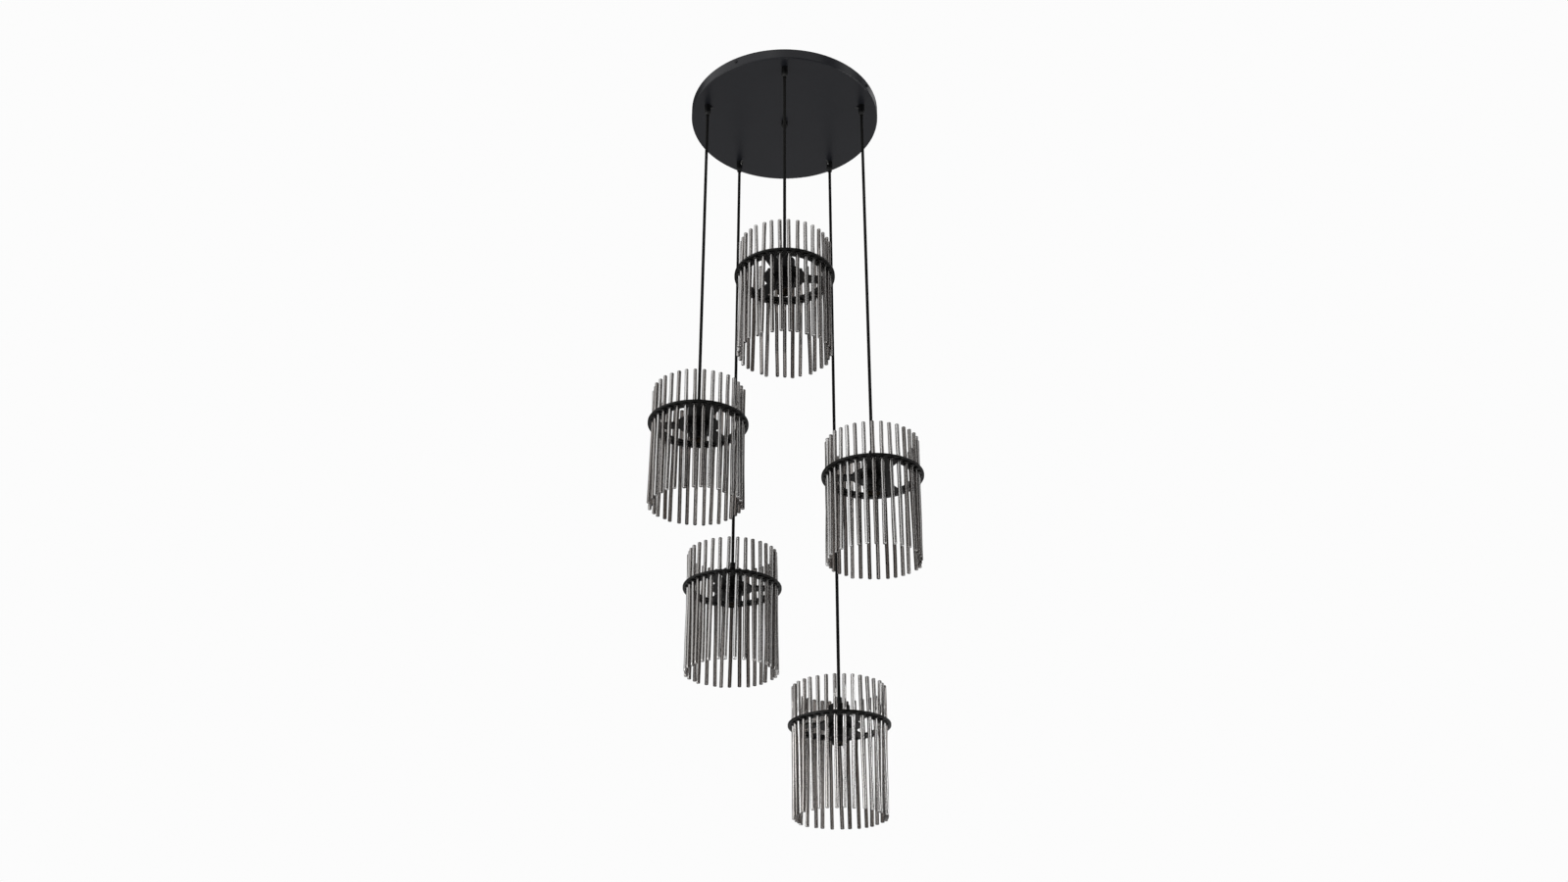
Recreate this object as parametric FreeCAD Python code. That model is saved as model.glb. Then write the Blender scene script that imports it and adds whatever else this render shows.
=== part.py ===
"""Cluster pendant: five glass-rod shades on cords of five lengths under one round canopy.

Millimetres. The origin is on the ceiling at the canopy's centre, +Z up, the front at -Y.
"""

import FreeCAD, Part
import math
import os
import random

Vector = FreeCAD.Vector
UP = Vector(0, 0, 1)
DOWN = Vector(0, 0, -1)

# ---------------------------------------------------------------- driving dimensions

# Canopy
CANOPY_RADIUS = 210.0
CANOPY_HEIGHT = 25.0
CANOPY_SHEET = 1.5
CANOPY_EDGE_RADIUS = 3.0
CORD_CIRCLE_RADIUS = 180.0
SIDE_SCREW_ANGLES = (-120, -30, 60, 150)
SIDE_SCREW_Z = -9.0
SIDE_SCREW_RADIUS = 2.0
SIDE_SCREW_HEAD = (3.6, 2.0)  # radius, height

# Ceiling bracket
STRAP_THICKNESS = 2.0
STRAP_WIDTH = 28.0
HUB_RADIUS = 52.0
LUG_HEIGHT = 16.0
LUG_GAP = 1.0  # between a lug and the canopy's wall
CEILING_HOLE_CIRCLE = 120.0
CEILING_HOLE_RADIUS = 2.75
SUPPLY_HOLE_RADIUS = 8.0
SUPPLY_HOLE_PLACE = (0.0, -30.0)
BOSS_RADIUS = 7.0
CAP_THREAD_RADIUS = 3.0
CAP_THREAD_LENGTH = 14.0
CAP_RADIUS = 7.0
CAP_HEIGHT = 12.0

# Wiring inside the canopy
BLOCK_SIZE = (40.0, 20.0, 12.0)
BLOCK_PLACE = (0.0, 26.0)
LEAD_RADIUS = 2.0
LEAD_BEND = 12.0
LEAD_Z = -6.0
# Where each lead meets the block's sides, from its middle, in the order of PENDANTS
LEAD_ENTRIES = ((-12.0, -10.0), (-20.0, 0.0), (20.0, 0.0), (-12.0, 10.0), (12.0, 10.0))
EARTH_PLACE = (-34.0, -8.0)

# Gland, sleeve and cord
GLAND_RADIUS = 6.75
GLAND_LENGTH = 20.0
NIPPLE_RADIUS = 5.0
NIPPLE_HEIGHT = 8.0  # above the canopy's underside
NUT_ACROSS_FLATS = 15.0
NUT_HEIGHT = 4.0
GRUB_RADIUS = 1.5
GRUB_DROP = 8.0  # below the canopy's underside
CORD_RADIUS = 3.25
CORD_TUCK = 3.0  # how far the cord reaches into the gland's mouth
MOUTH_RADIUS = 4.6
SLEEVE_RADII = (4.0, 5.5)
SLEEVE_LENGTH = 6.0
SLEEVE_GAP = 0.5  # under the gland, so that the sleeve can tilt with the cord

# Shade: heights are measured from the ring plate's middle plane
PLATE_RADIUS = 100.0
PLATE_BAND = 24.0
PLATE_THICKNESS = 4.0
PLATE_HUB_RADIUS = 41.0
ARM_WIDTH = 24.0
ROD_CIRCLE_RADIUS = 89.0
ROD_COUNT = 33
ROD_RADIUS = 4.0
ROD_ABOVE = 75.0
ROD_BELOW = 179.0
ROD_END_RADIUS = 1.4
ROD_LEAN = 1.0  # degrees, the most that a rod hangs out of true
ROD_HOLE_RADIUS = 4.7
O_RING_SECTION = 1.15
O_RING_LIFT = 0.25  # clear of the plate, because the rods lean

# Lamp holder
CUP_RADIUS = 21.0
CUP_TOP = 40.0
CUP_SHEET = 1.0
CUP_EDGE_RADIUS = 3.0
HOLDER_RADIUS = 19.5
HOLDER_BOTTOM = -36.0
HOLDER_STEP = -24.0  # below this the holder is only a lip round the socket
HOLDER_LIP_RADIUS = 16.0
HOLDER_WALL = 3.5
SOCKET_RADIUS = 13.4
SOCKET_SHELL = 1.0
SOCKET_INSET = 3.0  # from the holder's mouth to the screw shell
SOCKET_LENGTH = 22.0
CONTACT_HEIGHT = 2.5
SHADE_NUT_RADIUS = 24.0
SHADE_NUT_HEIGHT = 7.0
GRIP_RADIUS = 5.8
GRIP_HEIGHT = 16.0
GRIP_THREAD_RADIUS = 4.8
GRIP_THREAD_LENGTH = 8.0

FIT = 0.1  # radial clearance of a screwed or running fit
SEAT = 0.05  # gap between two faces that rest on each other

# Name, plan angle of the cord, depth of the ring plate under the ceiling, angle of the first arm
PENDANTS = (
    ("front", -90.0, 564.0, 8.2),
    ("left", -162.0, 830.0, 175.9),
    ("right", -18.0, 945.0, 175.0),
    ("back_left", 126.0, 1098.0, -0.5),
    ("back_right", 54.0, 1381.0, 181.3),
)

CANOPY_BOTTOM = -CANOPY_HEIGHT
CANOPY_FLOOR = CANOPY_BOTTOM + CANOPY_SHEET
GLAND_BOTTOM = CANOPY_BOTTOM - GLAND_LENGTH


# ---------------------------------------------------------------- helpers


def polar(radius, angle, z=0.0):
    """The point at a radius and a plan angle in degrees."""
    turn = math.radians(angle)
    return Vector(radius * math.cos(turn), radius * math.sin(turn), z)


def cylinder(radius, low, high, x=0.0, y=0.0):
    """An upright cylinder between two heights."""
    return Part.makeCylinder(radius, high - low, Vector(x, y, low))


def tube(outer, inner, low, high):
    """An upright tube between two heights."""
    return cylinder(outer, low, high).cut(cylinder(inner, low - 1, high + 1))


def lathe(points):
    """The solid made by turning an outline of (radius, z) points about Z."""
    corners = [Vector(r, 0, z) for r, z in points]
    outline = Part.makePolygon(corners + corners[:1])
    return Part.Face(outline).revolve(Vector(), UP, 360)


def box(length, width, low, high, x=0.0, y=0.0):
    """A box centred on (x, y) between two heights."""
    return Part.makeBox(length, width, high - low, Vector(x - length / 2, y - width / 2, low))


def hexagon(across_flats, low, high):
    """An upright hexagonal bar between two heights."""
    radius = across_flats / math.sqrt(3)
    corners = [polar(radius, 60 * i, low) for i in range(6)]
    face = Part.Face(Part.makePolygon(corners + corners[:1]))
    return face.extrude(UP * (high - low))


def placed(shape, place, turn=0.0):
    """A copy of a shape turned about Z and moved."""
    copy = shape.copy()
    copy.Placement = FreeCAD.Placement(place, FreeCAD.Rotation(UP, turn))
    return copy


def round_edges(shape, radius, wanted):
    """Fillets the edges for which wanted(edge) holds."""
    edges = [e for e in shape.Edges if wanted(e)]
    return shape.makeFillet(radius, edges)


def circle_edge(radius, z, tolerance=0.01):
    """Says whether an edge is the circle of a radius at a height."""

    def wanted(edge):
        curve = edge.Curve
        is_circle = curve.TypeId == "Part::GeomCircle"
        return is_circle and abs(curve.Radius - radius) < tolerance and abs(curve.Center.z - z) < tolerance

    return wanted


def save(name, solids):
    """Writes one sub-part, a single solid or a group of separate ones."""
    solids = solids if isinstance(solids, list) else [solids]
    shape = solids[0] if len(solids) == 1 else Part.makeCompound(solids)
    shape.exportStep(f"parts/{name}.step")
    volume = sum(s.Volume for s in solids) / 1000
    print(f"{name}: {len(solids)} solid(s), {volume:.2f} cm3, valid {shape.isValid()}")


# ---------------------------------------------------------------- canopy


def cord_places(z=0.0):
    """Where the five cords pass the canopy, in the order of PENDANTS."""
    return [polar(CORD_CIRCLE_RADIUS, angle, z) for _, angle, _, _ in PENDANTS]


def canopy_cover():
    """A flat round dish, open at the ceiling, with its holes."""
    inner = CANOPY_RADIUS - CANOPY_SHEET
    outside = cylinder(CANOPY_RADIUS, CANOPY_BOTTOM, 0)
    outside = round_edges(outside, CANOPY_EDGE_RADIUS, circle_edge(CANOPY_RADIUS, CANOPY_BOTTOM))
    inside = cylinder(inner, CANOPY_FLOOR, 1)
    inside = round_edges(inside, CANOPY_EDGE_RADIUS - CANOPY_SHEET, circle_edge(inner, CANOPY_FLOOR))
    dish = outside.cut(inside)
    for place in cord_places():
        dish = dish.cut(cylinder(NIPPLE_RADIUS + FIT, CANOPY_BOTTOM - 1, CANOPY_FLOOR + 1, place.x, place.y))
    dish = dish.cut(cylinder(CAP_THREAD_RADIUS + FIT, CANOPY_BOTTOM - 1, CANOPY_FLOOR + 1))
    for angle in SIDE_SCREW_ANGLES:
        start = polar(inner - CANOPY_SHEET, angle, SIDE_SCREW_Z)
        dish = dish.cut(Part.makeCylinder(SIDE_SCREW_RADIUS + FIT, 4 * CANOPY_SHEET, start, polar(1, angle)))
    return dish


def ceiling_bracket():
    """A flat cross on the ceiling with four lugs for the side screws and a boss for the centre cap."""
    lug_radius = CANOPY_RADIUS - CANOPY_SHEET - LUG_GAP
    cross = cylinder(HUB_RADIUS, -STRAP_THICKNESS, 0)
    for angle in SIDE_SCREW_ANGLES:
        arm = box(lug_radius, STRAP_WIDTH, -STRAP_THICKNESS, 0, x=lug_radius / 2)
        lug = box(STRAP_THICKNESS, STRAP_WIDTH, -LUG_HEIGHT, 0, x=lug_radius - STRAP_THICKNESS / 2)
        cross = cross.fuse([placed(arm, Vector(), angle), placed(lug, Vector(), angle)])
    cross = cross.fuse(cylinder(BOSS_RADIUS, CANOPY_FLOOR + SEAT, -STRAP_THICKNESS)).removeSplitter()
    # The lugs' corners stay inside the round canopy.
    cross = cross.common(cylinder(lug_radius, -CANOPY_HEIGHT, 0))
    thread_top = CANOPY_BOTTOM + CAP_THREAD_LENGTH + 1
    below = -STRAP_THICKNESS - 1
    cross = cross.cut(cylinder(CAP_THREAD_RADIUS + SEAT, CANOPY_BOTTOM, thread_top))
    for angle in SIDE_SCREW_ANGLES:
        start = polar(lug_radius - 4 * STRAP_THICKNESS, angle, SIDE_SCREW_Z)
        lug_hole = Part.makeCylinder(SIDE_SCREW_RADIUS + SEAT, 6 * STRAP_THICKNESS, start, polar(1, angle))
        ceiling_hole = polar(CEILING_HOLE_CIRCLE / 2, angle)
        cross = cross.cut(lug_hole)
        cross = cross.cut(cylinder(CEILING_HOLE_RADIUS, below, 1, ceiling_hole.x, ceiling_hole.y))
    cross = cross.cut(cylinder(SUPPLY_HOLE_RADIUS, below, 1, *SUPPLY_HOLE_PLACE))
    return cross.cut(cylinder(SIDE_SCREW_RADIUS + SEAT, below, 1, *EARTH_PLACE))


def side_screws():
    """Four slotted screws through the canopy's wall into the bracket's lugs."""
    head_radius, head_height = SIDE_SCREW_HEAD
    shank_length = 8.0
    slot_width = 1.0
    # Along +Z with the underside of the head at the origin, then laid down along the radius.
    head = cylinder(head_radius, 0, head_height)
    head = round_edges(head, 1.0, circle_edge(head_radius, head_height))
    head = head.cut(box(3 * head_radius, slot_width, head_height - slot_width, head_height + 1))
    screw = head.fuse(cylinder(SIDE_SCREW_RADIUS, -shank_length, 0)).removeSplitter()
    screws = []
    for angle in SIDE_SCREW_ANGLES:
        copy = screw.copy()
        tilt = FreeCAD.Rotation(UP, polar(1, angle))
        copy.Placement = FreeCAD.Placement(polar(CANOPY_RADIUS + SEAT, angle, SIDE_SCREW_Z), tilt)
        screws.append(copy)
    return screws


def centre_cap():
    """The knob at the canopy's centre, screwed up into the bracket's boss."""
    top = CANOPY_BOTTOM - SEAT
    knob = cylinder(CAP_RADIUS, top - CAP_HEIGHT, top)
    knob = round_edges(knob, 1.2, circle_edge(CAP_RADIUS, top - CAP_HEIGHT))
    return knob.fuse(cylinder(CAP_THREAD_RADIUS, top, top + CAP_THREAD_LENGTH))


def gland():
    """A cord gland with its nipple, bore, flared mouth and grub screw hole."""
    body = cylinder(GLAND_RADIUS, GLAND_BOTTOM, CANOPY_BOTTOM - SEAT)
    body = round_edges(body, 1.0, circle_edge(GLAND_RADIUS, GLAND_BOTTOM))
    body = body.fuse(cylinder(NIPPLE_RADIUS, CANOPY_BOTTOM - SEAT, CANOPY_BOTTOM + NIPPLE_HEIGHT))
    bore = CORD_RADIUS + FIT
    flare_height = CORD_TUCK + 1
    body = body.cut(cylinder(bore, GLAND_BOTTOM - 1, CANOPY_BOTTOM + NIPPLE_HEIGHT + 1))
    flare = Part.makeCone(MOUTH_RADIUS, bore, flare_height, Vector(0, 0, GLAND_BOTTOM))
    body = body.cut(flare)
    grub_start = Vector(0, 0, CANOPY_BOTTOM - GRUB_DROP)
    return body.cut(Part.makeCylinder(GRUB_RADIUS + SEAT, GLAND_RADIUS + 1, grub_start, Vector(1, 0, 0)))


def gland_nut():
    """The hexagon nut that clamps a gland to the canopy's floor."""
    low = CANOPY_FLOOR + SEAT
    nut = hexagon(NUT_ACROSS_FLATS, low, low + NUT_HEIGHT)
    return nut.cut(cylinder(NIPPLE_RADIUS + SEAT, low - 1, low + NUT_HEIGHT + 1))


def grub_screw():
    """The small headless screw in a gland's side that holds the cord's height."""
    inner_end = LEAD_RADIUS + SEAT
    length = GLAND_RADIUS - inner_end - 0.3
    middle_z = CANOPY_BOTTOM - GRUB_DROP
    slot_depth = 1.2
    slot_width = 0.6
    grub = Part.makeCylinder(GRUB_RADIUS, length, Vector(inner_end, 0, middle_z), Vector(1, 0, 0))
    slot_corner = Vector(inner_end + length - slot_depth, -slot_width / 2, middle_z - GRUB_RADIUS)
    return grub.cut(Part.makeBox(slot_depth, slot_width, 2 * GRUB_RADIUS, slot_corner))


def at_each_gland(shape):
    """A copy of a shape at every cord place, its +X side turned to the canopy's centre."""
    return [placed(shape, place, angle + 180) for place, (_, angle, _, _) in zip(cord_places(), PENDANTS)]


def inner_lead(place, entry):
    """One cord's tail: up through its gland, round a bend and across to its entry in the terminal block."""
    level = Vector(place.x, place.y, LEAD_Z)
    block_entry = Vector(BLOCK_PLACE[0] + entry[0], BLOCK_PLACE[1] + entry[1], LEAD_Z)
    heading = (block_entry - level).normalize()
    start = Vector(place.x, place.y, GLAND_BOTTOM + CORD_TUCK + 1)
    corner = level + DOWN * LEAD_BEND
    bend_end = level + heading * LEAD_BEND
    bend_centre = corner + heading * LEAD_BEND
    middle = bend_centre + (UP - heading).normalize() * LEAD_BEND
    # The lead is slanted to the block's side, so its end stops just short of it.
    end = block_entry - heading * (LEAD_RADIUS + 1)
    path = Part.Wire([
        Part.makeLine(start, corner),
        Part.Arc(corner, middle, bend_end).toShape(),
        Part.makeLine(bend_end, end),
    ])
    ring = Part.Wire(Part.makeCircle(LEAD_RADIUS, start, UP))
    return path.makePipeShell([ring], True, False)


def terminal_block():
    """The connector under the bracket's hub, with a screw hole over each way."""
    length, width, height = BLOCK_SIZE
    x, y = BLOCK_PLACE
    top = -STRAP_THICKNESS - SEAT
    block = box(length, width, top - height, top, x, y)
    block = round_edges(block, 1.0, lambda e: abs(e.tangentAt(e.FirstParameter).z) > 0.99)
    way_count = 3
    pitch = length / way_count
    for i in range(way_count):
        way_x = x + (i - (way_count - 1) / 2) * pitch
        for way_y in (y - width / 4, y + width / 4):
            block = block.cut(cylinder(1.8, top - height - 1, top - height + 4, way_x, way_y))
    return block


def earth_terminal():
    """The earth screw and its washer under the bracket's hub."""
    seat = -STRAP_THICKNESS - SEAT
    washer_height = 1.0
    head_height = 3.0
    x, y = EARTH_PLACE
    screw = cylinder(SIDE_SCREW_RADIUS, seat, -SEAT, x, y)
    washer = cylinder(5.0, seat - washer_height, seat, x, y)
    head = placed(hexagon(7.0, seat - washer_height - head_height, seat - washer_height), Vector(x, y, 0))
    return screw.fuse([washer, head]).removeSplitter()


# ---------------------------------------------------------------- pendant, at the origin of its ring plate


def cord_sleeve():
    """The collar round the cord just under its gland, at the height of the canopy's frame."""
    top = GLAND_BOTTOM - SLEEVE_GAP
    inner, outer = SLEEVE_RADII
    sleeve = tube(outer, inner, top - SLEEVE_LENGTH, top)
    return round_edges(sleeve, 0.6, circle_edge(outer, top - SLEEVE_LENGTH))


def cord(drop):
    """The straight loaded cord from the gland's mouth to the lamp holder's top."""
    holder_top = CUP_TOP - CUP_SHEET - SEAT
    low = holder_top - GRIP_THREAD_LENGTH - drop
    return cylinder(CORD_RADIUS, low, GLAND_BOTTOM + CORD_TUCK)


def cord_grip():
    """The grip that holds the cord's end on top of the lamp cup."""
    low = CUP_TOP + SEAT
    thread_low = CUP_TOP - CUP_SHEET - GRIP_THREAD_LENGTH
    body = cylinder(GRIP_RADIUS, low, low + GRIP_HEIGHT)
    body = round_edges(body, 1.8, circle_edge(GRIP_RADIUS, low + GRIP_HEIGHT))
    body = body.fuse(cylinder(GRIP_THREAD_RADIUS, thread_low, low))
    return body.cut(cylinder(CORD_RADIUS + FIT, thread_low - 1, low + GRIP_HEIGHT + 1))


def lamp_cup():
    """The metal cup over the lamp holder, standing on the ring plate."""
    low = PLATE_THICKNESS / 2 + SEAT
    inner = CUP_RADIUS - CUP_SHEET
    outside = cylinder(CUP_RADIUS, low, CUP_TOP)
    outside = round_edges(outside, CUP_EDGE_RADIUS, circle_edge(CUP_RADIUS, CUP_TOP))
    inside = cylinder(inner, low - 1, CUP_TOP - CUP_SHEET)
    inside = round_edges(inside, CUP_EDGE_RADIUS - CUP_SHEET, circle_edge(inner, CUP_TOP - CUP_SHEET))
    return outside.cut(inside).cut(cylinder(GRIP_THREAD_RADIUS + FIT, 0, CUP_TOP + 1))


def lamp_holder():
    """The insulating body: closed top with the grip's thread, a floor, and the open socket below."""
    top = CUP_TOP - CUP_SHEET - SEAT
    socket_floor = HOLDER_BOTTOM + SOCKET_INSET + SOCKET_LENGTH + CONTACT_HEIGHT + 2 * SEAT
    floor_thickness = 6.0
    top_thickness = 9.0
    thread = GRIP_THREAD_RADIUS + SEAT
    shoulder = 5.0
    edge = 0.6
    bore = SOCKET_RADIUS + SOCKET_SHELL + FIT
    hollow = HOLDER_RADIUS - HOLDER_WALL
    outside = lathe([
        (0, HOLDER_BOTTOM),
        (HOLDER_LIP_RADIUS - edge, HOLDER_BOTTOM),
        (HOLDER_LIP_RADIUS, HOLDER_BOTTOM + edge),
        (HOLDER_LIP_RADIUS, HOLDER_STEP),
        (HOLDER_RADIUS - edge, HOLDER_STEP),
        (HOLDER_RADIUS, HOLDER_STEP + edge),
        (HOLDER_RADIUS, top - shoulder),
        (HOLDER_RADIUS - shoulder, top),
        (0, top),
    ])
    body = outside.cut(cylinder(bore, HOLDER_BOTTOM - 1, socket_floor))
    body = body.cut(cylinder(hollow, socket_floor + floor_thickness, top - top_thickness))
    return body.cut(cylinder(thread, top - top_thickness - 1, top + 1))


def socket_contacts():
    """The screw shell and the centre contact, two separate solids."""
    shell_low = HOLDER_BOTTOM + SOCKET_INSET
    shell_high = shell_low + SOCKET_LENGTH
    contact_low = shell_high + SEAT
    contact_high = contact_low + CONTACT_HEIGHT
    shell = tube(SOCKET_RADIUS + SOCKET_SHELL, SOCKET_RADIUS, shell_low, shell_high)
    contact = lathe([
        (0, contact_low),
        (2.5, contact_low),
        (4.5, contact_low + 1.5),
        (4.5, contact_high),
        (0, contact_high),
    ])
    return [shell, contact]


def shade_ring_nut():
    """The notched ring nut that clamps the plate to the lamp holder."""
    high = -PLATE_THICKNESS / 2 - SEAT
    nut = tube(SHADE_NUT_RADIUS, HOLDER_RADIUS + FIT, high - SHADE_NUT_HEIGHT, high)
    notch_count = 12
    notch_radius = 1.6
    for i in range(notch_count):
        place = polar(SHADE_NUT_RADIUS + 0.5, i * 360 / notch_count)
        nut = nut.cut(cylinder(notch_radius, high - SHADE_NUT_HEIGHT - 1, high + 1, place.x, place.y))
    return nut


def ring_plate(first_arm):
    """One flat plate: the outer band with its rod holes, three arms and the hub."""
    low = -PLATE_THICKNESS / 2
    high = PLATE_THICKNESS / 2
    inner = PLATE_RADIUS - PLATE_BAND
    plate = tube(PLATE_RADIUS, inner, low, high)
    arms = []
    for i in range(3):
        arm = box(inner + 2, ARM_WIDTH, low, high, x=(inner + 2) / 2)
        arms.append(placed(arm, Vector(), first_arm + 120 * i))
    plate = plate.fuse(arms + [cylinder(PLATE_HUB_RADIUS, low, high)]).removeSplitter()
    edge_radius = 0.5
    plate = round_edges(plate, edge_radius, circle_edge(PLATE_RADIUS, low))
    plate = round_edges(plate, edge_radius, circle_edge(PLATE_RADIUS, high))
    holes = [cylinder(HOLDER_RADIUS + 3 * FIT, low - 1, high + 1)]
    for angle in rod_angles(first_arm):
        place = polar(ROD_CIRCLE_RADIUS, angle)
        holes.append(cylinder(ROD_HOLE_RADIUS, low - 1, high + 1, place.x, place.y))
    return plate.cut(holes)


def rod_angles(first_arm):
    """The plan angles of the rods. The first arm points between two of them."""
    return [first_arm + (i + 0.5) * 360 / ROD_COUNT for i in range(ROD_COUNT)]


def rod_stands(seed, first_arm):
    """Where each rod stands in its hole, each a little out of true."""
    chance = random.Random(seed)
    stands = []
    for angle in rod_angles(first_arm):
        across = FreeCAD.Rotation(polar(1, angle), chance.uniform(-ROD_LEAN, ROD_LEAN))
        outward = FreeCAD.Rotation(polar(1, angle + 90), chance.uniform(-ROD_LEAN, ROD_LEAN))
        stands.append(FreeCAD.Placement(polar(ROD_CIRCLE_RADIUS, angle), across.multiply(outward)))
    return stands


def glass_rods(stands):
    """The rods of one shade, with rounded ends."""
    rod = cylinder(ROD_RADIUS, -ROD_BELOW, ROD_ABOVE)
    rod = round_edges(rod, ROD_END_RADIUS, lambda e: e.Curve.TypeId == "Part::GeomCircle")
    rods = []
    for stand in stands:
        copy = rod.copy()
        copy.Placement = stand
        rods.append(copy)
    return rods


def rod_o_rings(stands):
    """Two O-rings on each rod, one above the plate that carries it and one below."""
    major = ROD_RADIUS + SEAT + O_RING_SECTION
    height = PLATE_THICKNESS / 2 + O_RING_SECTION + O_RING_LIFT
    rings = []
    for stand in stands:
        for z in (height, -height):
            ring = Part.makeTorus(major, O_RING_SECTION, Vector(0, 0, z))
            ring.Placement = stand.multiply(ring.Placement)
            rings.append(ring)
    return rings


# ---------------------------------------------------------------- the whole object


def main():
    os.makedirs("parts", exist_ok=True)

    save("canopy_cover", canopy_cover())
    save("ceiling_bracket", ceiling_bracket())
    save("side_screws", side_screws())
    save("centre_cap", centre_cap())
    save("cord_glands", at_each_gland(gland()))
    save("gland_nuts", at_each_gland(gland_nut()))
    save("gland_grub_screws", at_each_gland(grub_screw()))
    save("inner_leads", [inner_lead(place, entry) for place, entry in zip(cord_places(), LEAD_ENTRIES)])
    save("terminal_block", terminal_block())
    save("earth_terminal", earth_terminal())

    for number, (name, angle, drop, first_arm) in enumerate(PENDANTS):
        hanger = polar(CORD_CIRCLE_RADIUS, angle)
        centre = polar(CORD_CIRCLE_RADIUS, angle, -drop)
        stands = rod_stands(number + 1, first_arm)
        save(f"cord_sleeve_{name}", placed(cord_sleeve(), hanger))
        save(f"cord_{name}", placed(cord(drop), hanger))
        save(f"cord_grip_{name}", placed(cord_grip(), centre))
        save(f"lamp_cup_{name}", placed(lamp_cup(), centre))
        save(f"lamp_holder_{name}", placed(lamp_holder(), centre))
        save(f"socket_contacts_{name}", [placed(s, centre) for s in socket_contacts()])
        save(f"shade_ring_nut_{name}", placed(shade_ring_nut(), centre))
        save(f"ring_plate_{name}", placed(ring_plate(first_arm), centre))
        move = FreeCAD.Placement(centre, FreeCAD.Rotation())
        for node, solids in (("glass_rods", glass_rods(stands)), ("rod_o_rings", rod_o_rings(stands))):
            for solid in solids:
                solid.Placement = move.multiply(solid.Placement)
            save(f"{node}_{name}", solids)


main()
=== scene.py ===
"""Cluster pendant: five smoked-glass rod shades on textile cords under one round canopy.

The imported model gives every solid. This script adds the glass rods, the braided cords and the
leads as finer pieces, gives every part its finish, and sets the floor, the light and the camera.
Lengths are in metres, in the model's own frame: origin on the ceiling, +Z up, front towards -Y.
"""

import math
import random

import bmesh
import bpy
from mathutils import Matrix, Vector


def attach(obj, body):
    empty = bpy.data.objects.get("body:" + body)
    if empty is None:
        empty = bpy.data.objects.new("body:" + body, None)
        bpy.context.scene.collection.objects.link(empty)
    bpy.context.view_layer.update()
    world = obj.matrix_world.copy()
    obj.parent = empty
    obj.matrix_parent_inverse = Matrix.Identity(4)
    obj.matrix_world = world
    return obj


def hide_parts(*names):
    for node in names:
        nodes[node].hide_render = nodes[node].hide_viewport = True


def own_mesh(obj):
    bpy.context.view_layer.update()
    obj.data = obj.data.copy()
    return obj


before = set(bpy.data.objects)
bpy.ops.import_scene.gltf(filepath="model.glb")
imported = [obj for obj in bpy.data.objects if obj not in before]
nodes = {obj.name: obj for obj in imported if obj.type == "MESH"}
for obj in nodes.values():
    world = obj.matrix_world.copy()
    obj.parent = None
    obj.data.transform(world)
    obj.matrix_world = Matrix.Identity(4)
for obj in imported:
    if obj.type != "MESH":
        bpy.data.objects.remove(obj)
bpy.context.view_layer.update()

# ---- the same measures as in the part's source ----
CORD_CIRCLE_RADIUS = 0.180
CORD_RADIUS = 0.00325
CORD_TOP_Z = -0.042
CORD_FOOT_ABOVE_PLATE = 0.03095
ROD_CIRCLE_RADIUS = 0.089
ROD_COUNT = 33
ROD_RADIUS = 0.004
ROD_ABOVE = 0.075
ROD_BELOW = 0.179
ROD_END_RADIUS = 0.0014
ROD_LEAN = 1.0  # degrees
LEAD_RADIUS = 0.002
LEAD_Z = -0.006
LEAD_START_Z = -0.041
BLOCK_PLACE = (0.0, 0.026)  # of the terminal block, in plan
# Where each lead enters the block, from the block's middle.
LEAD_ENTRIES = ((-0.012, -0.010), (-0.020, 0.0), (0.020, 0.0), (-0.012, 0.010), (0.012, 0.010))

# Name, angle of the cord in plan, drop of the ring plate under the ceiling, and angle of the
# plate's first arm. Angles are in degrees.
PENDANTS = (
    ("front", -90, 0.564, 8.2),
    ("left", -162, 0.830, 175.9),
    ("right", -18, 0.945, 175.0),
    ("back_left", 126, 1.098, -0.5),
    ("back_right", 54, 1.381, 181.3),
)

# ---- light ----
# Upright dark panels in the white surround: how often they repeat in a turn, then stops, each a
# compass angle in degrees from the middle of a repeat and how light the surround is there.
GLASS_PANELS = (4, ((-14, 0), (-11, 1), (3, 1), (6, 0), (22, 0), (25, 1), (31, 1), (34, 0)))
GLOSS_PANELS = (1, (
    (-104, 1), (-98, 0.03), (-20, 0.03), (-15, 0.9), (2, 0.9), (7, 0.03),
    (36, 0.03), (42, 1), (56, 1), (62, 0.03), (152, 0.03), (158, 1),
))
BACKGROUND = 0.973  # what the camera sees of the surround
SURROUND = 0.62  # what the surround gives to matt surfaces
FLOOR_Z = -2.75
FLOOR_RADIUS = 14.0
FLOOR_SEGMENTS = 96
FLOOR_COLOUR = (0.88, 0.88, 0.875, 1)
FLOOR_FADE = (1.6, 4.5)  # radii between which the floor turns into the white surround
FLOOR_SHEEN = 0.5  # how far the floor lightens the panels for gloss
# Name, place, the point it faces, width and height, and power in watts.
LAMPS = (
    ("lamp_left", (-2.6, -1.3, -1.35), (0, 0, -0.7), (1.6, 2.0), 26),
    ("lamp_right", (2.7, -1.1, -1.35), (0, 0, -0.7), (1.4, 2.0), 24),
    ("lamp_high", (0.4, -1.8, 1.9), (0, 0, -0.5), (2.4, 1.6), 9),
)
LIGHT_BOUNCES = 32  # enough to see through the rods behind one another
CAMERA_PLACE = (-0.00124, -2.628, -2.195)
CAMERA_PITCH = 27.31  # degrees up
CAMERA_LENS = 33.75
SENSOR_WIDTH = 36.0


def polar(radius, degrees, z=0.0):
    """The point at that radius and angle round the Z axis."""
    angle = math.radians(degrees)
    return Vector((radius * math.cos(angle), radius * math.sin(angle), z))


# ---- shader helpers ----

# Places of the mix node's colour sockets: its two inputs and its result.
MIX_A = 6
MIX_B = 7
MIX_RESULT = 2


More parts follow.
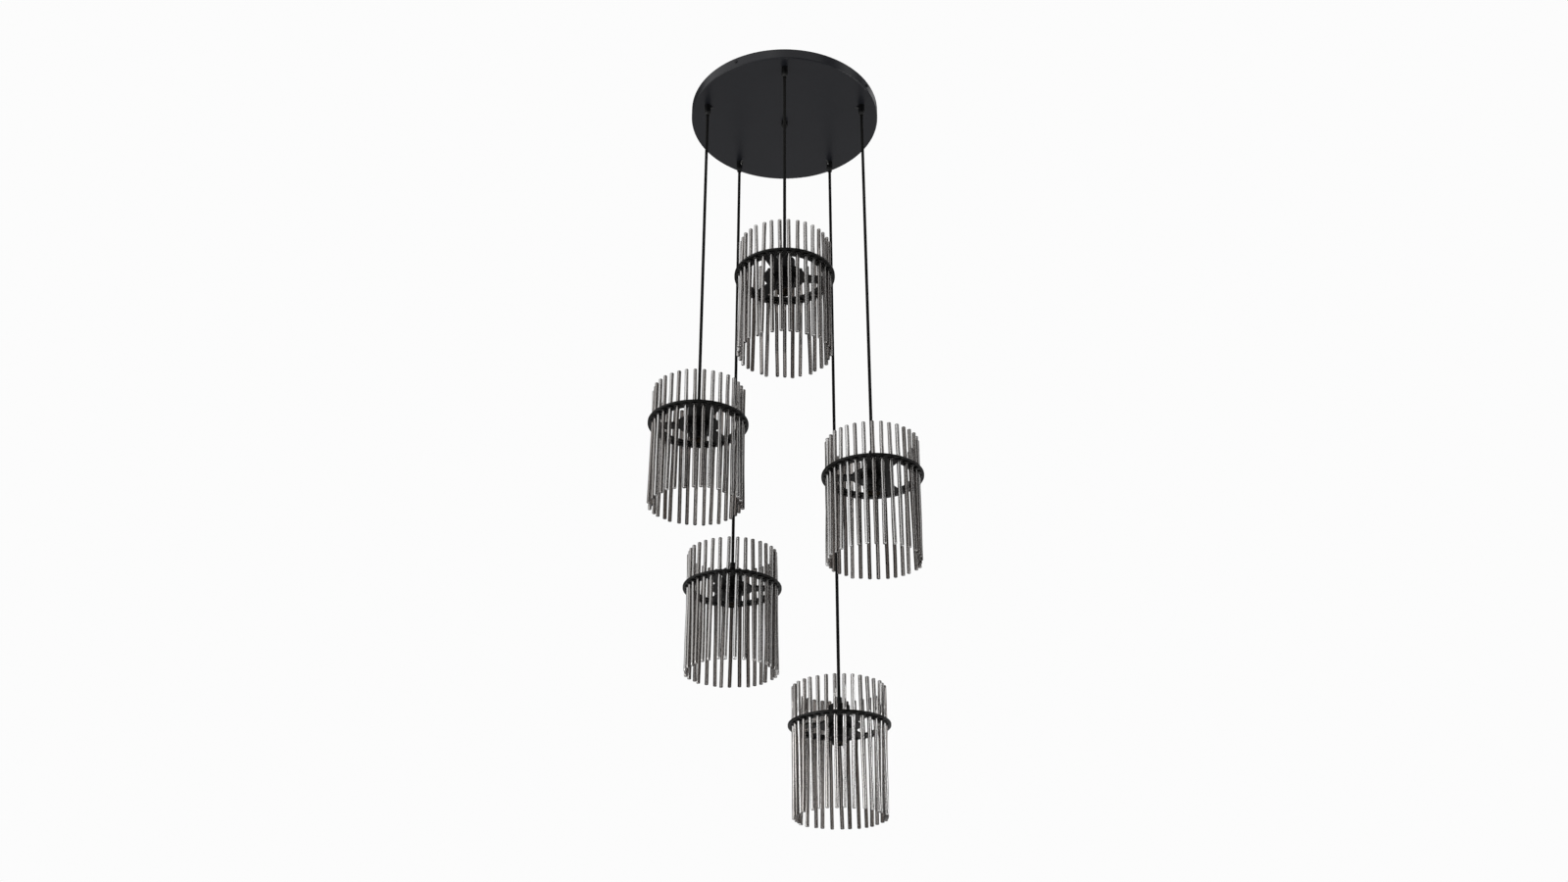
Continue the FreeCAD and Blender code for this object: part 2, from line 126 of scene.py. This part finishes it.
class Graph:
    """A node tree, emptied, with short ways to add and join nodes."""

    def __init__(self, tree):
        self.tree = tree
        self.tree.nodes.clear()

    def link(self, source, target):
        self.tree.links.new(source, target)

    def node(self, kind, inputs=None, **settings):
        made = self.tree.nodes.new(kind)
        for key, value in settings.items():
            setattr(made, key, value)
        for key, value in (inputs or {}).items():
            if isinstance(value, bpy.types.NodeSocket):
                self.link(value, made.inputs[key])
            else:
                made.inputs[key].default_value = value
        return made

    def math(self, operation, a, b=0.0, c=0.0):
        return self.node("ShaderNodeMath", {0: a, 1: b, 2: c}, operation=operation).outputs[0]

    def between(self, value, low, high):
        """A value from 0 to 1, spread over low to high."""
        made = self.node("ShaderNodeMapRange", {"Value": value, "To Min": low, "To Max": high})
        return made.outputs["Result"]

    def step(self, value, start, end):
        """0 below start and 1 above end, smooth between."""
        made = self.node(
            "ShaderNodeMapRange",
            {"Value": value, "From Min": start, "From Max": end},
            interpolation_type="SMOOTHSTEP",
        )
        return made.outputs["Result"]

    def blend(self, factor, a, b):
        """Colour a where factor is 0 and b where it is 1."""
        made = self.node("ShaderNodeMix", {"Factor": factor}, data_type="RGBA")
        for socket, value in ((made.inputs[MIX_A], a), (made.inputs[MIX_B], b)):
            if isinstance(value, bpy.types.NodeSocket):
                self.link(value, socket)
            else:
                socket.default_value = (*value, 1)
        return made.outputs[MIX_RESULT]

    def ramp(self, value, stops):
        """A grey that runs straight from stop to stop, each a place from 0 to 1 and how light."""
        made = self.node("ShaderNodeValToRGB", {"Fac": value})
        elements = made.color_ramp.elements
        for _ in stops[2:]:
            elements.new(1.0)
        for element, (place, light) in zip(elements, stops):
            element.position = place
            element.color = (light, light, light, 1)
        return made.outputs["Color"]

    def panels(self, vector, through):
        """What glass and gloss see around the object, by compass direction. Light that comes
        through glass (through is 1) meets other panels than reflected light does."""
        parts = self.node("ShaderNodeSeparateXYZ", {0: vector})
        azimuth = self.math("ARCTAN2", parts.outputs[1], parts.outputs[0])
        kinds = []
        for repeats, stops in (GLOSS_PANELS, GLASS_PANELS):
            turns = self.math("MULTIPLY_ADD", azimuth, repeats / math.tau, 0.5)
            places = [(0.5 + angle * repeats / 360, light) for angle, light in stops]
            kinds.append(self.ramp(self.math("FRACT", turns), places))
        return self.blend(through, *kinds)


class Finish(Graph):
    """A material with one Principled shader, built up node by node."""

    def __init__(self, name, colour, roughness, **sockets):
        self.material = bpy.data.materials.new(name)
        self.material.use_nodes = True
        super().__init__(self.material.node_tree)
        output = self.tree.nodes.new("ShaderNodeOutputMaterial")
        self.shader = self.tree.nodes.new("ShaderNodeBsdfPrincipled")
        self.link(self.shader.outputs["BSDF"], output.inputs["Surface"])
        self.shader.inputs["Base Color"].default_value = (*colour, 1)
        self.shader.inputs["Roughness"].default_value = roughness
        for socket, value in sockets.items():
            self.shader.inputs[socket.replace("_", " ")].default_value = value
        self.height = None

    def place(self):
        return self.node("ShaderNodeTexCoord").outputs["Object"]

    def noise(self, scale, detail=3.0, roughness=0.55, vector=None, distortion=0.0):
        """Noise whose features are about 1/scale metres across, from 0 to 1."""
        made = self.node(
            "ShaderNodeTexNoise",
            {"Vector": vector or self.place(), "Scale": scale, "Detail": detail,
             "Roughness": roughness, "Distortion": distortion},
        )
        return made.outputs["Fac"]

    def stretch(self, x, y, z):
        """The object's own coordinates, scaled along each axis."""
        inputs = {0: self.place(), 1: (x, y, z)}
        return self.node("ShaderNodeVectorMath", inputs, operation="MULTIPLY").outputs["Vector"]

    def colour(self, socket):
        self.link(socket, self.shader.inputs["Base Color"])

    def roughness(self, socket):
        self.link(socket, self.shader.inputs["Roughness"])

    def bump(self, socket, distance, strength=1.0):
        """Raises the surface by up to distance metres, on top of any bump before it."""
        inputs = {"Height": socket, "Distance": distance, "Strength": strength}
        made = self.node("ShaderNodeBump", inputs)
        if self.height is not None:
            self.link(self.height, made.inputs["Normal"])
        self.height = made.outputs["Normal"]
        self.link(self.height, self.shader.inputs["Normal"])


CLOUD_SHARE = 0.65  # of cloudiness in a powder coat's tone. The rest is specks


def powder_coat(name, dark, light, roughness, grain=1500.0, specular=0.2):
    """Satin powder coat: fine orange peel, faint cloudiness and fine specks of tone."""
    finish = Finish(name, dark, roughness, Specular_IOR_Level=specular)
    cloud = finish.noise(scale=14.0, detail=3.0)
    speck = finish.noise(scale=grain * 2.2, detail=1.0)
    clouded = finish.math("MULTIPLY", cloud, CLOUD_SHARE)
    mixed = finish.math("MULTIPLY_ADD", speck, 1 - CLOUD_SHARE, clouded)
    finish.colour(finish.blend(mixed, dark, light))
    gloss = finish.noise(scale=grain * 0.25, detail=2.0)
    finish.roughness(finish.between(gloss, roughness - 0.05, roughness + 0.07))
    finish.bump(finish.noise(scale=grain, detail=2.0), distance=0.00006, strength=0.35)
    return finish.material


def plated_metal(name, colour, tint, roughness, grain):
    """Plated or bare metal with fine directional scratches and patchy tone."""
    finish = Finish(name, colour, roughness, Metallic=1.0)
    patch = finish.noise(scale=60.0, detail=4.0)
    finish.colour(finish.blend(finish.step(patch, 0.35, 0.75), colour, tint))
    scratch = finish.noise(scale=1.0, detail=3.0, vector=finish.stretch(*grain))
    finish.roughness(finish.between(scratch, roughness - 0.08, roughness + 0.12))
    finish.bump(scratch, distance=0.00004, strength=0.3)
    return finish.material


def moulded(name, dark, light, roughness, grain, **sockets):
    """Moulded plastic, rubber or resin: faint flow marks, fine grain, uneven gloss."""
    finish = Finish(name, dark, roughness, **sockets)
    flow = finish.noise(scale=90.0, detail=3.0, distortion=1.2)
    finish.colour(finish.blend(flow, dark, light))
    gloss = finish.noise(scale=grain * 0.4, detail=2.0)
    finish.roughness(finish.between(gloss, roughness - 0.06, roughness + 0.08))
    finish.bump(finish.noise(scale=grain, detail=2.0), distance=0.00005, strength=0.3)
    return finish.material


# Colours of the glass where its smoke is thin and where it is deep, without and with mirror bloom.
SMOKE_LIGHT = (0.58, 0.545, 0.52)
SMOKE_DARK = (0.13, 0.105, 0.09)
BLOOM_LIGHT = (0.98, 0.98, 0.98)
BLOOM_DARK = (0.38, 0.35, 0.33)
# Shares of a rod's own smoke, with its painted back shade, and of streaks along it, in how deep its
# smoke is.
ROD_DEPTH = 0.8
STREAK_DEPTH = 0.3
BLOOM_METAL = 0.6  # how far full bloom makes the glass a mirror


def smoked_glass():
    """Smoke-grey glass with a thin mirror bloom on the side of each rod that faces out of the
    shade. Each rod has its own depth of smoke, made deeper at the back of the shade as painted
    shade.
    Both are values at the mesh's points."""
    finish = Finish("smoked_glass", SMOKE_LIGHT, 0.01, Transmission_Weight=1.0, IOR=1.5)
    # Each rod's value holds its own smoke and painted shade towards the back of the shade.
    rod = finish.node("ShaderNodeAttribute", attribute_name="smoke_and_back_shade").outputs["Fac"]
    bloom = finish.node("ShaderNodeAttribute", attribute_name="bloom").outputs["Fac"]
    streak = finish.noise(scale=1.0, detail=1.0, vector=finish.stretch(260.0, 260.0, 9.0))
    own = finish.math("MULTIPLY", rod, ROD_DEPTH)
    depth = finish.math("MULTIPLY_ADD", streak, STREAK_DEPTH, own)
    inner = finish.blend(depth, SMOKE_LIGHT, SMOKE_DARK)
    outer = finish.blend(depth, BLOOM_LIGHT, BLOOM_DARK)
    finish.colour(finish.blend(bloom, inner, outer))
    metal = finish.math("MULTIPLY", bloom, BLOOM_METAL)
    finish.link(metal, finish.shader.inputs["Metallic"])
    finish.roughness(finish.between(finish.noise(scale=90.0, detail=2.0), 0.0, 0.02))
    return finish.material


SILICONE = ((0.93, 0.91, 0.87), (0.78, 0.72, 0.62))
LOWER_O_RING_COLOURS = ((0.0030, 0.0028, 0.0026), (0.0080, 0.0072, 0.0064))
O_RING_SPLIT = 0.001  # half the height over which their finish changes, inside the plate


def o_ring(name, plate_z):
    """Clear silicone for the O-rings above the plate, and near-black for those below it."""
    finish = Finish(name, (0.9, 0.88, 0.84), 0.2, Transmission_Weight=0.85, IOR=1.41)
    height = finish.node("ShaderNodeSeparateXYZ", {0: finish.place()}).outputs[2]
    above = finish.step(height, plate_z - O_RING_SPLIT, plate_z + O_RING_SPLIT)
    cloud = finish.noise(scale=400.0, detail=2.0)
    clear = finish.blend(cloud, *SILICONE)
    black = finish.blend(cloud, *LOWER_O_RING_COLOURS)
    finish.colour(finish.blend(above, black, clear))
    finish.roughness(finish.between(finish.noise(scale=1500.0, detail=2.0), 0.12, 0.26))
    finish.bump(finish.noise(scale=1800.0, detail=1.0), distance=0.00003, strength=0.3)
    return finish.material


YARN = ((0.001, 0.001, 0.001), (0.004, 0.0038, 0.0036))
# Painted highlights: the colour of light specks on the yarn, and how much of it they take.
YARN_PAINTED_GLINT = (0.075, 0.070, 0.062)
PAINTED_GLINT_SHARE = 0.5


def braid_yarn():
    """Black textile yarn with painted glints on its fine threads. The strands are in the mesh, and
    the fine threads in each are here.
    """
    finish = Finish(
        "textile_cord", YARN[1], 0.62, Sheen_Weight=0.02, Sheen_Roughness=0.4,
        Specular_IOR_Level=0.1,
    )
    fibre = finish.noise(scale=5200.0, detail=2.0)
    tone = finish.noise(scale=900.0, detail=2.0)
    # Painted glints: light specks in the colour where the threads would catch light.
    painted_glint = finish.step(finish.noise(scale=1500.0, detail=1.0), 0.62, 0.74)
    base = finish.blend(tone, *YARN)
    finish.colour(finish.blend(finish.math("MULTIPLY", painted_glint, PAINTED_GLINT_SHARE), base, YARN_PAINTED_GLINT))
    finish.roughness(finish.between(fibre, 0.5, 0.75))
    finish.bump(fibre, distance=0.00012, strength=0.6)
    return finish.material


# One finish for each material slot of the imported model, apart from the O-rings'.
FINISHES = {
    "matt_black_metal": powder_coat(
        "canopy_coat", (0.0080, 0.0084, 0.0112), (0.0120, 0.0125, 0.0160), 0.30, specular=0.28,
    ),
    "ring_black_metal": powder_coat(
        "ring_coat", (0.0012, 0.0011, 0.0010), (0.0026, 0.0024, 0.0022), 0.40,
    ),
    "black_trim": powder_coat(
        "trim_coat", (0.0015, 0.0015, 0.0017), (0.0035, 0.0035, 0.0038), 0.40, 2200.0,
    ),
    "black_screws": plated_metal(
        "screw_black", (0.020, 0.020, 0.022), (0.040, 0.040, 0.044), 0.38, (900.0, 900.0, 300.0),
    ),
    "zinc_plated_steel": plated_metal(
        "zinc", (0.80, 0.80, 0.78), (0.66, 0.66, 0.63), 0.40, (60.0, 1400.0, 1400.0),
    ),
    "nickel_brass": plated_metal(
        "nickel", (0.66, 0.62, 0.54), (0.58, 0.53, 0.44), 0.30, (1200.0, 1200.0, 200.0),
    ),
    # Brass of the socket's contacts, darker than bare brass: painted shade for the inside of the
    # socket.
    "brass": plated_metal(
        "brass", (0.40, 0.35, 0.28), (0.28, 0.24, 0.18), 0.34, (300.0, 300.0, 2200.0),
    ),
    "black_bakelite": moulded(
        "bakelite", (0.0014, 0.0013, 0.0012), (0.0040, 0.0036, 0.0033), 0.30, 900.0,
        Specular_IOR_Level=0.25,
    ),
    "black_rubber": moulded(
        "rubber", (0.0080, 0.0080, 0.0080), (0.0150, 0.0150, 0.0150), 0.62, 1600.0,
    ),
    "nylon": moulded("nylon", (0.55, 0.55, 0.53), (0.65, 0.65, 0.63), 0.45, 1200.0),
    "white_plastic": moulded(
        "white_plastic", (0.70, 0.70, 0.67), (0.80, 0.80, 0.78), 0.38, 1100.0,
    ),
    "lead_sheath": moulded(
        "lead_sheath", (0.0100, 0.0100, 0.0100), (0.0220, 0.0220, 0.0220), 0.48, 2600.0,
    ),
    "smoked_glass": smoked_glass(),
    "textile_cord": braid_yarn(),
}


def finish_nodes():
    """Gives every CAD node the finish of its material slot. The O-rings have one for each shade."""
    for name, _, drop, _ in PENDANTS:
        nodes["rod_o_rings_" + name].material_slots[0].material = o_ring("o_ring_" + name, -drop)
    for name, thing in nodes.items():
        if name.startswith("rod_o_rings"):
            continue
        for place in thing.material_slots:
            place.material = FINISHES[place.material.name]


# ---- pieces ----


def new_piece(name, bm, material):
    """A smooth-shaded object from a bmesh."""
    mesh = bpy.data.meshes.new(name)
    bm.to_mesh(mesh)
    bm.free()
    for face in mesh.polygons:
        face.use_smooth = True
    mesh.materials.append(material)
    thing = bpy.data.objects.new(name, mesh)
    bpy.context.scene.collection.objects.link(thing)
    return thing


def add_rings(bm, rings):
    """Joins rings of points into a tube, and closes each end with a fan."""
    made = [[bm.verts.new(point) for point in ring] for ring in rings]
    count = len(made[0])
    for lower, upper in zip(made, made[1:]):
        for i in range(count):
            j = (i + 1) % count
            bm.faces.new((lower[i], lower[j], upper[j], upper[i]))
    for ring, turn in ((made[0], -1), (made[-1], 1)):
        centre = bm.verts.new(sum((v.co for v in ring), Vector()) / count)
        for i in range(count):
            pair = (ring[i], ring[(i + 1) % count])
            bm.faces.new((*pair[::turn], centre))


ROD_SIDES = 32
ROD_SPANS = 48  # rings along the straight part
ROD_END_STEPS = 5
ROD_INSET = 0.00001  # how far each end stays within the solid's own
ROD_RIPPLE = 0.00007  # how far the drawn glass is thinner in places
ROD_WAVES = 4  # waves that make the ripple
ROD_WAVE_RATE = (14, 40)  # radians a metre
# Sides of each uneven form, the least and most depth of it, and its most twist in radians a metre.
ROD_LOBES = (
    (2, (0.00008, 0.00024), 10),
    (3, (0.00003, 0.00010), 16),
)
ROD_TRUE = (0.007, 0.030)  # distances from the plate between which a rod turns uneven
ROD_WANDER = 0.0006  # how far its middle line wanders in towards the middle of the shade
ROD_WANDER_RATE = (20, 60)  # radians a metre
ROD_WANDER_SPREAD = 40  # degrees to each side of straight in
ROD_BACK_PAINTED_SHADE = 0.2  # painted shade: the rods at the back of each shade get deeper smoke
ROD_BLOOM = (-0.4, 0.4)  # across a rod in radii, where its mirror bloom begins and is full
SHAPE_SEED = 100  # added to a shade's seed, for what isn't in the solids


def ease(value, low, high):
    """0 below low and 1 above high, smooth between."""
    part = min(max((value - low) / (high - low), 0.0), 1.0)
    return part * part * (3 - 2 * part)


def rod_profile():
    """Height from the plate and radius of each ring of a rod, from its lower end up."""
    flat = ROD_RADIUS - ROD_END_RADIUS
    start = -ROD_BELOW + ROD_INSET + ROD_END_RADIUS
    length = ROD_ABOVE + ROD_BELOW - 2 * (ROD_INSET + ROD_END_RADIUS)
    end_angles = [math.pi / 2 * i / ROD_END_STEPS for i in range(ROD_END_STEPS + 1)]
    profile = []
    for angle in end_angles:
        low = start - ROD_END_RADIUS * math.cos(angle)
        profile.append((low, flat + ROD_END_RADIUS * math.sin(angle)))
    for i in range(1, ROD_SPANS):
        profile.append((start + length * i / ROD_SPANS, ROD_RADIUS))
    for angle in end_angles:
        high = start + length + ROD_END_RADIUS * math.sin(angle)
        profile.append((high, flat + ROD_END_RADIUS * math.cos(angle)))
    return profile


def rod_stand(chance, foot, angle):
    """Where a rod stands and how it leans, with the same draws as its solid."""
    across = chance.uniform(-ROD_LEAN, ROD_LEAN)
    outward = chance.uniform(-ROD_LEAN, ROD_LEAN)
    return (
        Matrix.Translation(foot)
        @ Matrix.Rotation(math.radians(across), 4, polar(1, angle))
        @ Matrix.Rotation(math.radians(outward), 4, polar(1, angle + 90))
    )


def rod_rings(shape, profile, stand, angle):
    """A rod's rings of points. Drawn glass is slightly uneven, and here that is only inwards."""
    waves = []
    for _ in range(ROD_WAVES):
        rate = shape.uniform(*ROD_WAVE_RATE)
        waves.append((rate, shape.uniform(0, math.tau), shape.randint(0, 3)))
    spread = shape.uniform(-ROD_WANDER_SPREAD, ROD_WANDER_SPREAD)
    bow = polar(ROD_WANDER, angle + 180 + spread)
    bow_rate = shape.uniform(*ROD_WANDER_RATE)
    bow_start = shape.uniform(0, math.tau)
    lobed = []
    for lobes, depth, most in ROD_LOBES:
        deep = shape.uniform(*depth)
        lobed.append((lobes, deep, shape.uniform(0, math.tau), shape.uniform(-most, most)))
    rings = []
    for z, radius in profile:
        uneven = ease(abs(z), *ROD_TRUE)
        aside = bow * uneven * (0.5 + 0.5 * math.sin(bow_rate * z + bow_start))
        middle = aside + Vector((0, 0, z))
        ring = []
        for side in range(ROD_SIDES):
            turn = math.tau * side / ROD_SIDES
            ripple = sum(math.sin(rate * z + phase + lobes * turn) for rate, phase, lobes in waves)
            reach = radius - ROD_RIPPLE * (1 + ripple / ROD_WAVES)
            for lobes, depth, phase, twist in lobed:
                reach -= uneven * depth * (1 + math.cos(lobes * turn + phase + twist * z))
            out = Vector((reach * math.cos(turn), reach * math.sin(turn), 0))
            ring.append(stand @ (middle + out))
        rings.append(ring)
    return rings


def glass_rods(name, seed, centre, first_arm):
    """All rods of one shade as one mesh, with the smoke, its painted back shade, and the bloom at
    each point.
    """
    chance = random.Random(seed)
    shape = random.Random(seed + SHAPE_SEED)
    profile = rod_profile()
    bm = bmesh.new()
    smoke_and_back_shade = bm.verts.layers.float.new("smoke_and_back_shade")
    bloom = bm.verts.layers.float.new("bloom")
    for rod in range(ROD_COUNT):
        angle = first_arm + (rod + 0.5) * 360 / ROD_COUNT
        foot = centre + polar(ROD_CIRCLE_RADIUS, angle)
        stand = rod_stand(chance, foot, angle)
        first = len(bm.verts)
        add_rings(bm, rod_rings(shape, profile, stand, angle))
        # Painted shade: the smoke is made deeper towards the back of the shade.
        depth = shape.random() + ROD_BACK_PAINTED_SHADE * math.sin(math.radians(angle))
        bm.verts.ensure_lookup_table()
        for vertex in bm.verts[first:]:
            vertex[smoke_and_back_shade] = depth
            outward = (vertex.co - foot).dot(polar(1, angle)) / ROD_RADIUS
            vertex[bloom] = ease(outward, *ROD_BLOOM)
    return new_piece(name, bm, FINISHES["smoked_glass"])


BRAID_SIDES = 32
BRAID_STEP = 0.0006
BRAID_STRANDS = 8  # each way round
BRAID_LAY = 0.0205  # length in which a strand goes once round
BRAID_RELIEF = 0.00028
# How high a strand lies in that relief, and how far it goes over and under.
BRAID_LEVEL = 0.6
BRAID_WEAVE = 0.4
CURVE_ORDER = 3
ROUTE_RESOLUTION = 64
LEAD_RESOLUTION = 48
LEAD_SIDES = 5  # bevel resolution
LEAD_CLEARANCE = 0.001  # between a lead's end and the terminal block


def smooth_curve(name, points, resolution):
    """A curve object on a smooth open spline from the first point to the last."""
    curve = bpy.data.curves.new(name, "CURVE")
    curve.dimensions = "3D"
    spline = curve.splines.new("NURBS")
    spline.points.add(len(points) - 1)
    for point, place in zip(spline.points, points):
        point.co = (*place, 1)
    spline.order_u = CURVE_ORDER
    spline.use_endpoint_u = True
    spline.resolution_u = resolution
    thing = bpy.data.objects.new(name, curve)
    bpy.context.scene.collection.objects.link(thing)
    return thing


def route_points(name, points):
    """The points of the smooth line on a route."""
    thing = smooth_curve(name, points, ROUTE_RESOLUTION)
    mesh = bpy.data.meshes.new_from_object(thing)
    line = [v.co.copy() for v in mesh.vertices]
    bpy.data.objects.remove(thing)
    bpy.data.meshes.remove(mesh)
    return line


def along(line, distance):
    """The point that far along a line of points, and the line's direction there."""
    for a, b in zip(line, line[1:]):
        piece = (b - a).length
        if distance <= piece:
            return a.lerp(b, distance / piece), (b - a).normalized()
        distance -= piece
    return line[-1].copy(), (line[-1] - line[-2]).normalized()


def braided_cord(name, line):
    """A textile cord whose strands cross over and under each other all the way round."""
    total = sum((b - a).length for a, b in zip(line, line[1:]))
    count = round(total / BRAID_STEP)
    bm = bmesh.new()
    rings = []
    for step in range(count + 1):
        distance = total * step / count
        centre, heading = along(line, distance)
        side = heading.orthogonal().normalized()
        other = heading.cross(side)
        ring = []
        for i in range(BRAID_SIDES):
            turn = math.tau * i / BRAID_SIDES
            twist = math.tau * distance / BRAID_LAY
            one = math.sqrt(0.5 + 0.5 * math.cos(BRAID_STRANDS * (turn + twist)))
            two = math.sqrt(0.5 + 0.5 * math.cos(BRAID_STRANDS * (turn - twist)))
            over = BRAID_WEAVE * math.cos(BRAID_STRANDS * turn)
            height = max(one * (BRAID_LEVEL + over), two * (BRAID_LEVEL - over))
            reach = CORD_RADIUS - BRAID_RELIEF * (1 - height)
            ring.append(centre + reach * (math.cos(turn) * side + math.sin(turn) * other))
        rings.append(ring)
    add_rings(bm, rings)
    return new_piece(name, bm, FINISHES["textile_cord"])


def lead(name, place, entry):
    """One cord's tail inside the canopy: up through its gland, round and across to the block."""
    level = Vector((place.x, place.y, LEAD_Z))
    block_entry = Vector((BLOCK_PLACE[0] + entry[0], BLOCK_PLACE[1] + entry[1], LEAD_Z))
    heading = (block_entry - level).normalized()
    end = block_entry - heading * (LEAD_RADIUS + LEAD_CLEARANCE)
    points = (Vector((place.x, place.y, LEAD_START_Z)), level, end)
    thing = smooth_curve(name, points, LEAD_RESOLUTION)
    thing.data.bevel_depth = LEAD_RADIUS
    thing.data.bevel_resolution = LEAD_SIDES
    thing.data.use_fill_caps = True
    thing.data.materials.append(FINISHES["lead_sheath"])
    return thing


def build_pendants():
    """The rods and the cord of each pendant, each in place of its CAD node."""
    for number, (name, angle, drop, first_arm) in enumerate(PENDANTS):
        place = polar(CORD_CIRCLE_RADIUS, angle)
        rods = glass_rods("glass_" + name, number + 1, place + Vector((0, 0, -drop)), first_arm)
        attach(rods, "shade_" + name)
        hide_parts("glass_rods_" + name)
        top = Vector((place.x, place.y, CORD_TOP_Z))
        foot = Vector((place.x, place.y, -drop + CORD_FOOT_ABOVE_PLATE))
        line = route_points("route_" + name, (top, foot))
        cord = braided_cord("braid_" + name, line)
        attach(cord, "cord_" + name)
        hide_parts("cord_" + name)
        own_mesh(cord)


def build_leads():
    """The leads inside the canopy, in place of their CAD node."""
    for (name, angle, _, _), entry in zip(PENDANTS, LEAD_ENTRIES):
        thing = lead("lead_" + name, polar(CORD_CIRCLE_RADIUS, angle), entry)
        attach(thing, "canopy")
        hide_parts("inner_leads")


# ---- surround, floor, light and camera ----


def lamp(name, place, target, size, power):
    """A large soft lamp that faces target and stays out of the camera's own view."""
    data = bpy.data.lights.new(name, "AREA")
    data.shape = "RECTANGLE"
    data.size, data.size_y = size
    data.energy = power
    thing = bpy.data.objects.new(name, data)
    thing.location = place
    heading = Vector(target) - Vector(place)
    thing.rotation_euler = heading.to_track_quat("-Z", "Y").to_euler()
    thing.visible_camera = False
    bpy.context.scene.collection.objects.link(thing)


def surround():
    """White all round. Glass and gloss also see dark bands in it, as between a studio's panels."""
    world = bpy.data.worlds.new("surround")
    bpy.context.scene.world = world
    world.use_nodes = True
    graph = Graph(world.node_tree)
    path = graph.node("ShaderNodeLightPath")
    direction = graph.node("ShaderNodeTexCoord").outputs["Generated"]
    through = path.outputs["Is Transmission Ray"]
    banded = graph.panels(direction, through)
    seen = graph.blend(path.outputs["Is Camera Ray"], banded, (BACKGROUND,) * 3)
    sharp = graph.math("MAXIMUM", path.outputs["Is Glossy Ray"], through)
    sharp = graph.math("MAXIMUM", sharp, path.outputs["Is Camera Ray"])
    colour = graph.blend(sharp, (SURROUND,) * 3, seen)
    background = graph.node("ShaderNodeBackground", {"Color": colour, "Strength": 1.0})
    output = graph.node("ShaderNodeOutputWorld")
    graph.link(background.outputs["Background"], output.inputs["Surface"])


def floor():
    """A pale floor that holds the object's shadow and turns white further out."""
    bm = bmesh.new()
    bmesh.ops.create_circle(bm, cap_ends=True, segments=FLOOR_SEGMENTS, radius=FLOOR_RADIUS)
    mesh = bpy.data.meshes.new("floor")
    bm.to_mesh(mesh)
    bm.free()
    material = bpy.data.materials.new("floor")
    material.use_nodes = True
    graph = Graph(material.node_tree)
    path = graph.node("ShaderNodeLightPath")
    place = graph.node("ShaderNodeTexCoord").outputs["Object"]
    radius = graph.node("ShaderNodeVectorMath", {0: place}, operation="LENGTH").outputs["Value"]
    far = graph.step(radius, *FLOOR_FADE)
    through = path.outputs["Is Transmission Ray"]
    looks_through = graph.math("MAXIMUM", path.outputs["Is Glossy Ray"], through)
    banded = graph.panels(place, through)
    # Gloss sees lighter panels below the horizon, so that the canopy's underside keeps its sheen.
    softened = graph.blend(graph.between(through, FLOOR_SHEEN, 0.0), banded, (1, 1, 1))
    shown = graph.blend(looks_through, (BACKGROUND,) * 3, softened)
    matt = graph.node("ShaderNodeBsdfDiffuse", {"Color": FLOOR_COLOUR, "Roughness": 0.5})
    glow = graph.node("ShaderNodeEmission", {"Color": shown})
    sharp = graph.math("MAXIMUM", looks_through, path.outputs["Is Camera Ray"])
    mixed = graph.node("ShaderNodeMixShader", {0: graph.math("MULTIPLY", far, sharp)})
    graph.link(matt.outputs[0], mixed.inputs[1])
    graph.link(glow.outputs[0], mixed.inputs[2])
    output = graph.node("ShaderNodeOutputMaterial")
    graph.link(mixed.outputs[0], output.inputs["Surface"])
    mesh.materials.append(material)
    thing = bpy.data.objects.new("floor", mesh)
    thing.location = (0, 0, FLOOR_Z)
    bpy.context.scene.collection.objects.link(thing)


def camera():
    data = bpy.data.cameras.new("camera")
    data.lens = CAMERA_LENS
    data.sensor_width = SENSOR_WIDTH
    thing = bpy.data.objects.new("camera", data)
    thing.location = CAMERA_PLACE
    thing.rotation_euler = (math.radians(90 + CAMERA_PITCH), 0, 0)
    bpy.context.scene.collection.objects.link(thing)
    bpy.context.scene.camera = thing


def render_settings():
    scene = bpy.context.scene
    scene.view_settings.view_transform = "Standard"
    scene.cycles.max_bounces = LIGHT_BOUNCES
    scene.cycles.transmission_bounces = LIGHT_BOUNCES


finish_nodes()
build_pendants()
build_leads()
surround()
floor()
camera()
for values in LAMPS:
    lamp(*values)
render_settings()
